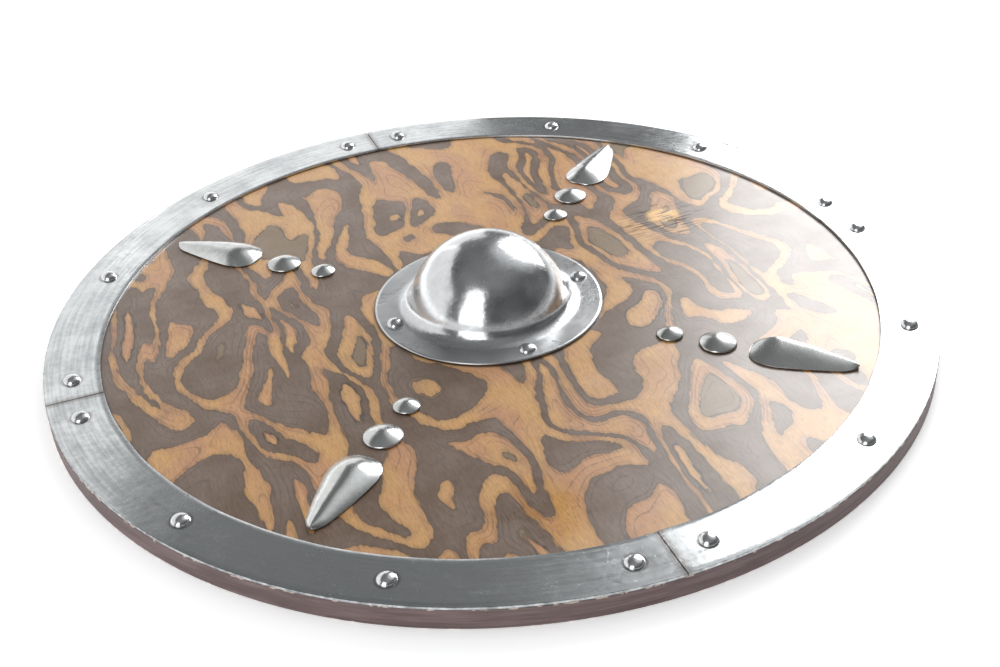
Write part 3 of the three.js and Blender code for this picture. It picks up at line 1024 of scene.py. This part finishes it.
def rim_segment(segment):
    start, end = joint_angles(segment)
    bm = bmesh.new()
    outline = [
        (RIM_INNER, 0, FACE),
        (RIM_OUTER, 0, FACE),
        (RIM_OUTER, 0, FACE + RIM_SHEET),
        (RIM_INNER, 0, FACE + RIM_SHEET),
    ]
    corners = [bm.verts.new(point) for point in outline]
    bm.faces.new(corners)
    bevel(bm, corners[2:], RIM_EDGE, segments=2)
    long_edges = [edge for edge in bm.edges if edge.calc_length() > RIM_SHEET * 2]
    bmesh.ops.subdivide_edges(bm, edges=long_edges, cuts=RIM_CUTS)
    bmesh.ops.rotate(bm, verts=bm.verts, cent=ORIGIN, matrix=Matrix.Rotation(start, 3, "Z"))
    bmesh.ops.spin(
        bm,
        geom=bm.verts[:] + bm.edges[:] + bm.faces[:],
        cent=ORIGIN,
        axis=UP,
        angle=end - start,
        steps=RIM_STEPS,
        use_merge=False,
    )
    bmesh.ops.recalc_face_normals(bm, faces=bm.faces)
    for vertex in bm.verts:
        from_edge = (hypot(*vertex.co.xy) - RIM_INNER) / (RIM_OUTER - RIM_INNER)
        bow = (ripple(vertex.co, BOW_SIZE, segment) + 1) * BOW_HEIGHT
        filing = ripple(vertex.co, FILING_SIZE, segment + 9) * FILING_DEPTH * (1 - from_edge)
        outwards = vertex.co.xy.normalized() * filing
        vertex.co += Vector((outwards.x, outwards.y, max(0, bow)))
    return bm


JOINT_PLACE = Vector((cos(joint_angles(1)[0]), sin(joint_angles(1)[0])))
rim_finish = rim_steel()
for segment in range(1, SEGMENTS + 1):
    node = f"rim_segment_{segment}"
    finish_piece(f"rim_{segment}", rim_segment(segment), [node], rim_finish)
print(f"the rim's first joint lies at {degrees(joint_angles(1)[0]):.1f} degrees")

# %% [markdown]
# ## The boss
#
# A smith raises a boss from one disc of sheet: a dome that turns out into an almost flat flange
# through a round fillet. Half a sphere on a ring would leave the fillet to be made between them,
# so the whole profile is one chain of edges: a line across the flange, an arc about the fillet's
# centre and an arc about the dome's centre. Turned about the axis it is the skin, and a Solidify
# modifier gives that the thickness of the sheet, inwards, so that the boss stays hollow. Hammer
# work leaves the skin a little uneven, which a low ripple imitates. The dome starts a little
# low, so that its dents stay under the crown's true height.

# %% Raise the boss
BOSS_SHEET = 2 * MM
DOME_RADIUS = 73.5 * MM
FILLET_RADIUS = 15 * MM
DISH = 0.3 * MM  # how much lower the flange's edge lies than its foot
BOSS_STEPS = 192
FLANGE_CUTS = 7
FILLET_STEPS = 10
DOME_STEPS = 36
HAMMER_SIZE = 26 * MM
HAMMER_DEPTH = 0.12 * MM
FLANGE_WAVE_SIZE = 30 * MM
FLANGE_WAVE = 0.22 * MM
RAISED_WITHIN = 20 * MM  # the height over which hammer dents take over from the wave


def boss():
    bm = bmesh.new()
    flange = FACE + BOSS_SHEET
    dome_centre = Vector((0, 0, BOSS_CROWN - DOME_RADIUS - HAMMER_DEPTH * 2))
    fillet_z = flange + DISH + FILLET_RADIUS
    rise = fillet_z - dome_centre.z
    fillet_centre = Vector((((DOME_RADIUS + FILLET_RADIUS) ** 2 - rise**2) ** 0.5, 0, fillet_z))
    meeting = atan2(rise, fillet_centre.x)
    foot = draw_line(bm, [(BOSS_RADIUS, 0, flange), (fillet_centre.x, 0, flange + DISH)])
    shoulder = sweep_arc(bm, foot, fillet_centre, pi / 2 - meeting, FILLET_STEPS)
    crown = sweep_arc(bm, shoulder, dome_centre, -(pi / 2 - meeting), DOME_STEPS)
    crown.co.x = 0
    flange_edges = [edge for edge in bm.edges if edge.calc_length() > FILLET_RADIUS]
    bmesh.ops.subdivide_edges(bm, edges=flange_edges, cuts=FLANGE_CUTS)
    turn_about_axis(bm, BOSS_STEPS)
    for vertex in bm.verts:
        outward = (vertex.co - dome_centre).normalized()
        raised = min(1.0, max(0.0, (vertex.co.z - flange) / RAISED_WITHIN))
        dent = ripple(vertex.co, HAMMER_SIZE, seed=31) * HAMMER_DEPTH
        vertex.co += outward * dent * raised
        wave = (ripple(vertex.co, FLANGE_WAVE_SIZE, seed=32) + 1) * FLANGE_WAVE
        vertex.co.z += wave * (1 - raised)
    return bm


boss_shell = finish_piece("boss_shell", boss(), ["boss"], boss_steel())
solidify(boss_shell, BOSS_SHEET)
print("boss:", len(boss_shell.data.polygons), "faces in its skin")

# %% [markdown]
# ## The rivets
#
# A rivet has a domed head on the steel and a shank through the board that is filed off flush at
# the back. The head is a quarter circle, pressed a little flat and spun. Twenty copies with the
# same dents would look stamped by one machine, so the heads differ a little in height, and each
# has its own lean.

# %% Set the rivets
RIVET_STEPS = 32
HEAD_ARC_STEPS = 8
SHANK_RADIUS = 3 * MM
SMALLEST_HEAD = 0.86  # share of the full height
SHARES = 11  # different heights of head, taken in steps of seven
HEAD_FOOT = 0.5 * MM  # up to this height a head sits flat on the steel
DENT_SIZE = 9 * MM
DENT_DEPTH = 0.2 * MM


def rivet(name, number):
    low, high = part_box(name)
    centre = (low + high) / 2
    head_radius = (high.x - low.x) / 2
    seat = FACE + RIM_SHEET
    share = SMALLEST_HEAD + (1 - SMALLEST_HEAD) * (number * 7 % SHARES) / SHARES
    bm = bmesh.new()
    draw_line(bm, [(0, 0, 0), (SHANK_RADIUS, 0, 0), (SHANK_RADIUS, 0, seat), (head_radius, 0, seat)])
    foot = max(bm.verts, key=lambda vertex: vertex.co.x)
    crown = sweep_arc(bm, foot, Vector((0, 0, seat)), -pi / 2, HEAD_ARC_STEPS)
    crown.co.x = 0
    flat = (high.z - seat) * share / head_radius
    for vertex in bm.verts:
        if vertex.co.z > seat:
            vertex.co.z = seat + (vertex.co.z - seat) * flat
    turn_about_axis(bm, RIVET_STEPS)
    for vertex in bm.verts:
        if vertex.co.z > seat + HEAD_FOOT:
            lean = (ripple(vertex.co, DENT_SIZE, number), ripple(vertex.co, DENT_SIZE, number + 40), 0)
            vertex.co += Vector(lean) * DENT_DEPTH
    bmesh.ops.translate(bm, verts=bm.verts, vec=(centre.x, centre.y, 0))
    return bm


rivet_finish = rivet_steel()
for number, name in enumerate(rivet_names()):
    finish_piece(f"set_{name}", rivet(name, number), [name], rivet_finish, sharp=60)
print("rivets:", len(rivet_names()))

# %% [markdown]
# ## The discs
#
# Each arm starts with a small and a larger disc, pressed from thin sheet into a shallow hat. A
# cone would be too sharp on top and a dome too full at the lip, so its shape lies between them.
# Half of its section is one straight edge, subdivided, whose vertices are lifted along a curve
# before the spin. The discs aren't perfectly round: most are squeezed a little, each in a
# direction of its own, as hand-cut blanks are. An open sheet has no outside, so its faces are
# turned over if they point down.

# %% Press the discs
ORNAMENT_SHEET = 1.3 * MM
DISC_STEPS = 56
DISC_CUTS = 13
DISC_SLOPE = 1.8  # 1 would be a cone and 2 a dome
DISC_EDGE = 1.5 * MM  # height of the disc's lip over the board
OVALNESS = 0.03
DISC_TURN = 1.1  # radians from one disc's direction to the next
DISC_DENT_SIZE = 14 * MM
DISC_DENT_DEPTH = 0.22 * MM


def disc(name, number):
    low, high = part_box(name)
    centre = (low + high) / 2
    radius = (high.x - low.x) / 2
    height = high.z - FACE
    bm = bmesh.new()
    draw_line(bm, [(0, 0, 0), (radius, 0, 0)])
    bmesh.ops.subdivide_edges(bm, edges=bm.edges[:], cuts=DISC_CUTS)
    for vertex in bm.verts:
        share = vertex.co.x / radius
        vertex.co.z = FACE + DISC_EDGE + (height - DISC_EDGE) * (1 - share**DISC_SLOPE)
    turn_about_axis(bm, DISC_STEPS)
    turn = Matrix.Rotation(number * DISC_TURN, 3, "Z")
    bmesh.ops.scale(bm, verts=bm.verts, vec=(1, 1 - OVALNESS * (number % 3) / 2, 1))
    bmesh.ops.rotate(bm, verts=bm.verts, cent=ORIGIN, matrix=turn)
    for vertex in bm.verts:
        vertex.co.z += ripple(vertex.co, DISC_DENT_SIZE, number + 50) * DISC_DENT_DEPTH
    bmesh.ops.translate(bm, verts=bm.verts, vec=(centre.x, centre.y, 0))
    if bm.faces[0].normal.z < 0:
        bmesh.ops.reverse_faces(bm, faces=bm.faces)
    return bm


ornament_finish = ornament_steel()
disc_names = [f"{size}_disc_{arm}" for size in ("small", "large") for arm in range(1, ARMS + 1)]
for number, name in enumerate(disc_names):
    pressed = finish_piece(
        f"pressed_{name}", disc(name, number), [name], ornament_finish, sharp=60
    )
    solidify(pressed, ORNAMENT_SHEET)
print("discs:", len(disc_names))

# %% [markdown]
# ## The teardrops
#
# A teardrop could be lofted through a row of sections, but a grid is shorter, and it closes by
# itself where its width falls to nothing. The grid is flat, from -1 to 1 both ways. One loop
# moves each vertex: its place along the grid becomes a share of the length, its place across
# becomes a share of the width there, and its height falls from the crown line to the lip. The
# four were beaten out by hand and differ: the crown line can lean to one side, and it can be
# soft or a hard keel.

# %% Beat the teardrops
DROP_ROWS = 56
DROP_COLUMNS = 36
DROP_HALF_WIDTH = 21.5 * MM
DROP_TIP_HALF_WIDTH = 6.5 * MM
DROP_WIDEST = 0.27  # as a share of the length from the blunt end
DROP_LIP = 1.5 * MM
TIP_ROUNDING = 1.8  # how long the round tip is, in its own half widths
BLUNTNESS = 2.5  # 2 is elliptical, and more is squarer
TAPER_POWER = 1.3  # 1 is a straight taper, and more keeps the drop full for longer
CLIMB_POWER = 0.7  # below 1 the crown line climbs fast at the blunt end
FALL_POWER = 1.4  # above 1 it falls late towards the tip
TIP_FALL = 0.62  # how much of its height the crown line has lost at the tip
DROP_WELD = 0.02 * MM
DROP_DENT_SIZE = 24 * MM
DROP_DENT_DEPTH = 0.35 * MM
DROP_SHAPES = {  # lean of the crown line, from -1 to 1, and roundness of the slopes beside it
    1: (0.10, 1.7),
    2: (0.05, 2.1),
    3: (0.0, 1.9),
    4: (0.45, 1.45),
}


def drop_half_width(share, length):
    before = max(0.0, 1 - share / DROP_WIDEST)
    shoulder = (1 - before**BLUNTNESS) ** (1 / BLUNTNESS)
    taper = max(0.0, (share - DROP_WIDEST) / (1 - DROP_WIDEST))
    sides = DROP_HALF_WIDTH + (DROP_TIP_HALF_WIDTH - DROP_HALF_WIDTH) * taper**TAPER_POWER
    tip_start = 1 - TIP_ROUNDING * DROP_TIP_HALF_WIDTH / length
    in_tip = max(0.0, (share - tip_start) / (1 - tip_start))
    return sides * shoulder * max(0.0, 1 - in_tip**2) ** 0.5


def drop_crown(share, height):
    climb = sin(min(1.0, share / DROP_WIDEST) * pi / 2) ** CLIMB_POWER
    fall = max(0.0, (share - DROP_WIDEST) / (1 - DROP_WIDEST))
    return height * climb * (1 - TIP_FALL * fall**FALL_POWER)


def teardrop(arm):
    name = f"teardrop_{arm}"
    centre = middle(name)
    heading = atan2(centre.y, centre.x)
    outward = Vector((cos(heading), sin(heading), 0))
    distances = [corner.co.dot(outward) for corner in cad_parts[name].data.vertices]
    start, end = min(distances), max(distances)
    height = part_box(name)[1].z - FACE
    lean, roundness = DROP_SHAPES[arm]
    bm = bmesh.new()
    bmesh.ops.create_grid(bm, x_segments=DROP_ROWS, y_segments=DROP_COLUMNS, size=1)
    for vertex in bm.verts:
        share = (1 - cos((vertex.co.x + 1) / 2 * pi)) / 2
        across = sin(vertex.co.y * pi / 2)
        half = drop_half_width(share, end - start)
        from_crown = (across - lean) / (1 - lean) if across > lean else (lean - across) / (1 + lean)
        rise = max(0.0, drop_crown(share, height) - DROP_LIP) * (1 - from_crown**roundness)
        vertex.co = (start + share * (end - start), half * across, FACE + DROP_LIP + rise)
    bmesh.ops.remove_doubles(bm, verts=bm.verts, dist=DROP_WELD)
    bmesh.ops.smooth_vert(
        bm, verts=bm.verts, factor=0.5, use_axis_x=False, use_axis_y=False, use_axis_z=True
    )
    bmesh.ops.rotate(bm, verts=bm.verts, cent=ORIGIN, matrix=Matrix.Rotation(heading, 3, "Z"))
    for vertex in bm.verts:
        vertex.co.z += ripple(vertex.co, DROP_DENT_SIZE, arm + 60) * DROP_DENT_DEPTH
    return bm


for arm in range(1, ARMS + 1):
    node = f"teardrop_{arm}"
    beaten = finish_piece(
        f"beaten_{node}", teardrop(arm), [node], ornament_finish, sharp=50
    )
    solidify(beaten, ORNAMENT_SHEET)
print("teardrops:", ARMS)

# %% [markdown]
# ## The grip
#
# The grip is a plain hardwood bar, let into the back of the board and carved rounder where the
# fingers close on it. A cube is stretched to size, its long edges get a small bevel, and it is
# divided along its length. Then the middle is waisted: the vertices inside the hand hole move in
# towards the bar's axis, the corners most. Two of the boss's rivets pass through its ends, so it
# is drilled with a Boolean as the board is.

# %% Carve the grip
HARDWOODS = ((0.30, 0.165, 0.075), (0.42, 0.255, 0.125))
GRAIN_LINE = (0.12, 0.062, 0.03)
HAND_WORN = (0.16, 0.09, 0.05)
GRIP_ROWS = 48
GRIP_EDGE = 1.6 * MM
WAIST_ENDS = 10 * MM  # over which the square end turns into the round middle
WAIST_INSET = 2 * MM  # from the edge of the hand hole
ROUNDNESS = 0.55  # 0 leaves the corners, and 1 takes them off
SQUARENESS = 3  # 2 would round them to an oval
SLIMMING = 0.10


def edges_over(bm, length):
    """The edges that run farther along X than a length."""
    return [edge for edge in bm.edges if abs((edge.verts[0].co - edge.verts[1].co).x) > length]


def grip():
    low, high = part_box("grip")
    centre = (low + high) / 2
    half = (high - low) / 2
    free_half = HAND_HOLE_RADIUS - WAIST_INSET
    bm = bmesh.new()
    bmesh.ops.create_cube(bm, size=1, matrix=Matrix.Diagonal((*(half * 2), 1)))
    bevel(bm, edges_over(bm, half.x), GRIP_EDGE, segments=4, affect="EDGES")
    bmesh.ops.subdivide_edges(
        bm, edges=edges_over(bm, half.x), cuts=GRIP_ROWS, use_grid_fill=True
    )
    for vertex in bm.verts:
        inward = min(1.0, max(0.0, (free_half - abs(vertex.co.x)) / WAIST_ENDS))
        waisted = inward * inward * (3 - 2 * inward)
        y, z = vertex.co.y / half.y, vertex.co.z / half.z
        out = (abs(y) ** SQUARENESS + abs(z) ** SQUARENESS) ** (1 / SQUARENESS)
        roundly = 1 - (1 - 1 / max(1.0, out)) * waisted * ROUNDNESS
        slim = 1 - SLIMMING * waisted * cos(vertex.co.x / free_half * pi / 2)
        vertex.co.y *= roundly * slim
        vertex.co.z *= roundly * slim
    bmesh.ops.translate(bm, verts=bm.verts, vec=centre)
    return bm


def grip_wood():
    finish = Finish("grip_wood")
    place = finish.place()
    grain = finish.noise(place, (70, 1.6, 2.4), detail=3, seed=41)
    bands = finish.noise(place, (160, 5, 7), detail=2, seed=42)
    worn = finish.noise(place, (26, 14, 14), detail=2, seed=43)
    banding = finish.ease(bands + grain * 0.4, -1.1, 1.2)
    colour = finish.mix(banding, *HARDWOODS)
    colour = finish.mix(finish.ease(grain, 0.55, 1.2) * 0.5, colour, GRAIN_LINE)
    colour = finish.mix(finish.ease(worn, 0.2, 1.3) * 0.4, colour, HAND_WORN)
    return finish.surface({
        "Base Color": colour,
        "Roughness": 0.5 + grain * 0.05 - worn * 0.05,
        "Normal": finish.bump(grain * 0.06),
    })


carved = finish_piece("carved_grip", grip(), ["grip"], grip_wood(), sharp=40)
drilled = [name for name in rivet_names() if through_grip(name)]
posts = bmesh.new()
add_posts(posts, drilled)
cut_away(carved, posts)
print("rivets through the grip:", ", ".join(drilled))
print("grip:", len(carved.data.polygons), "faces")
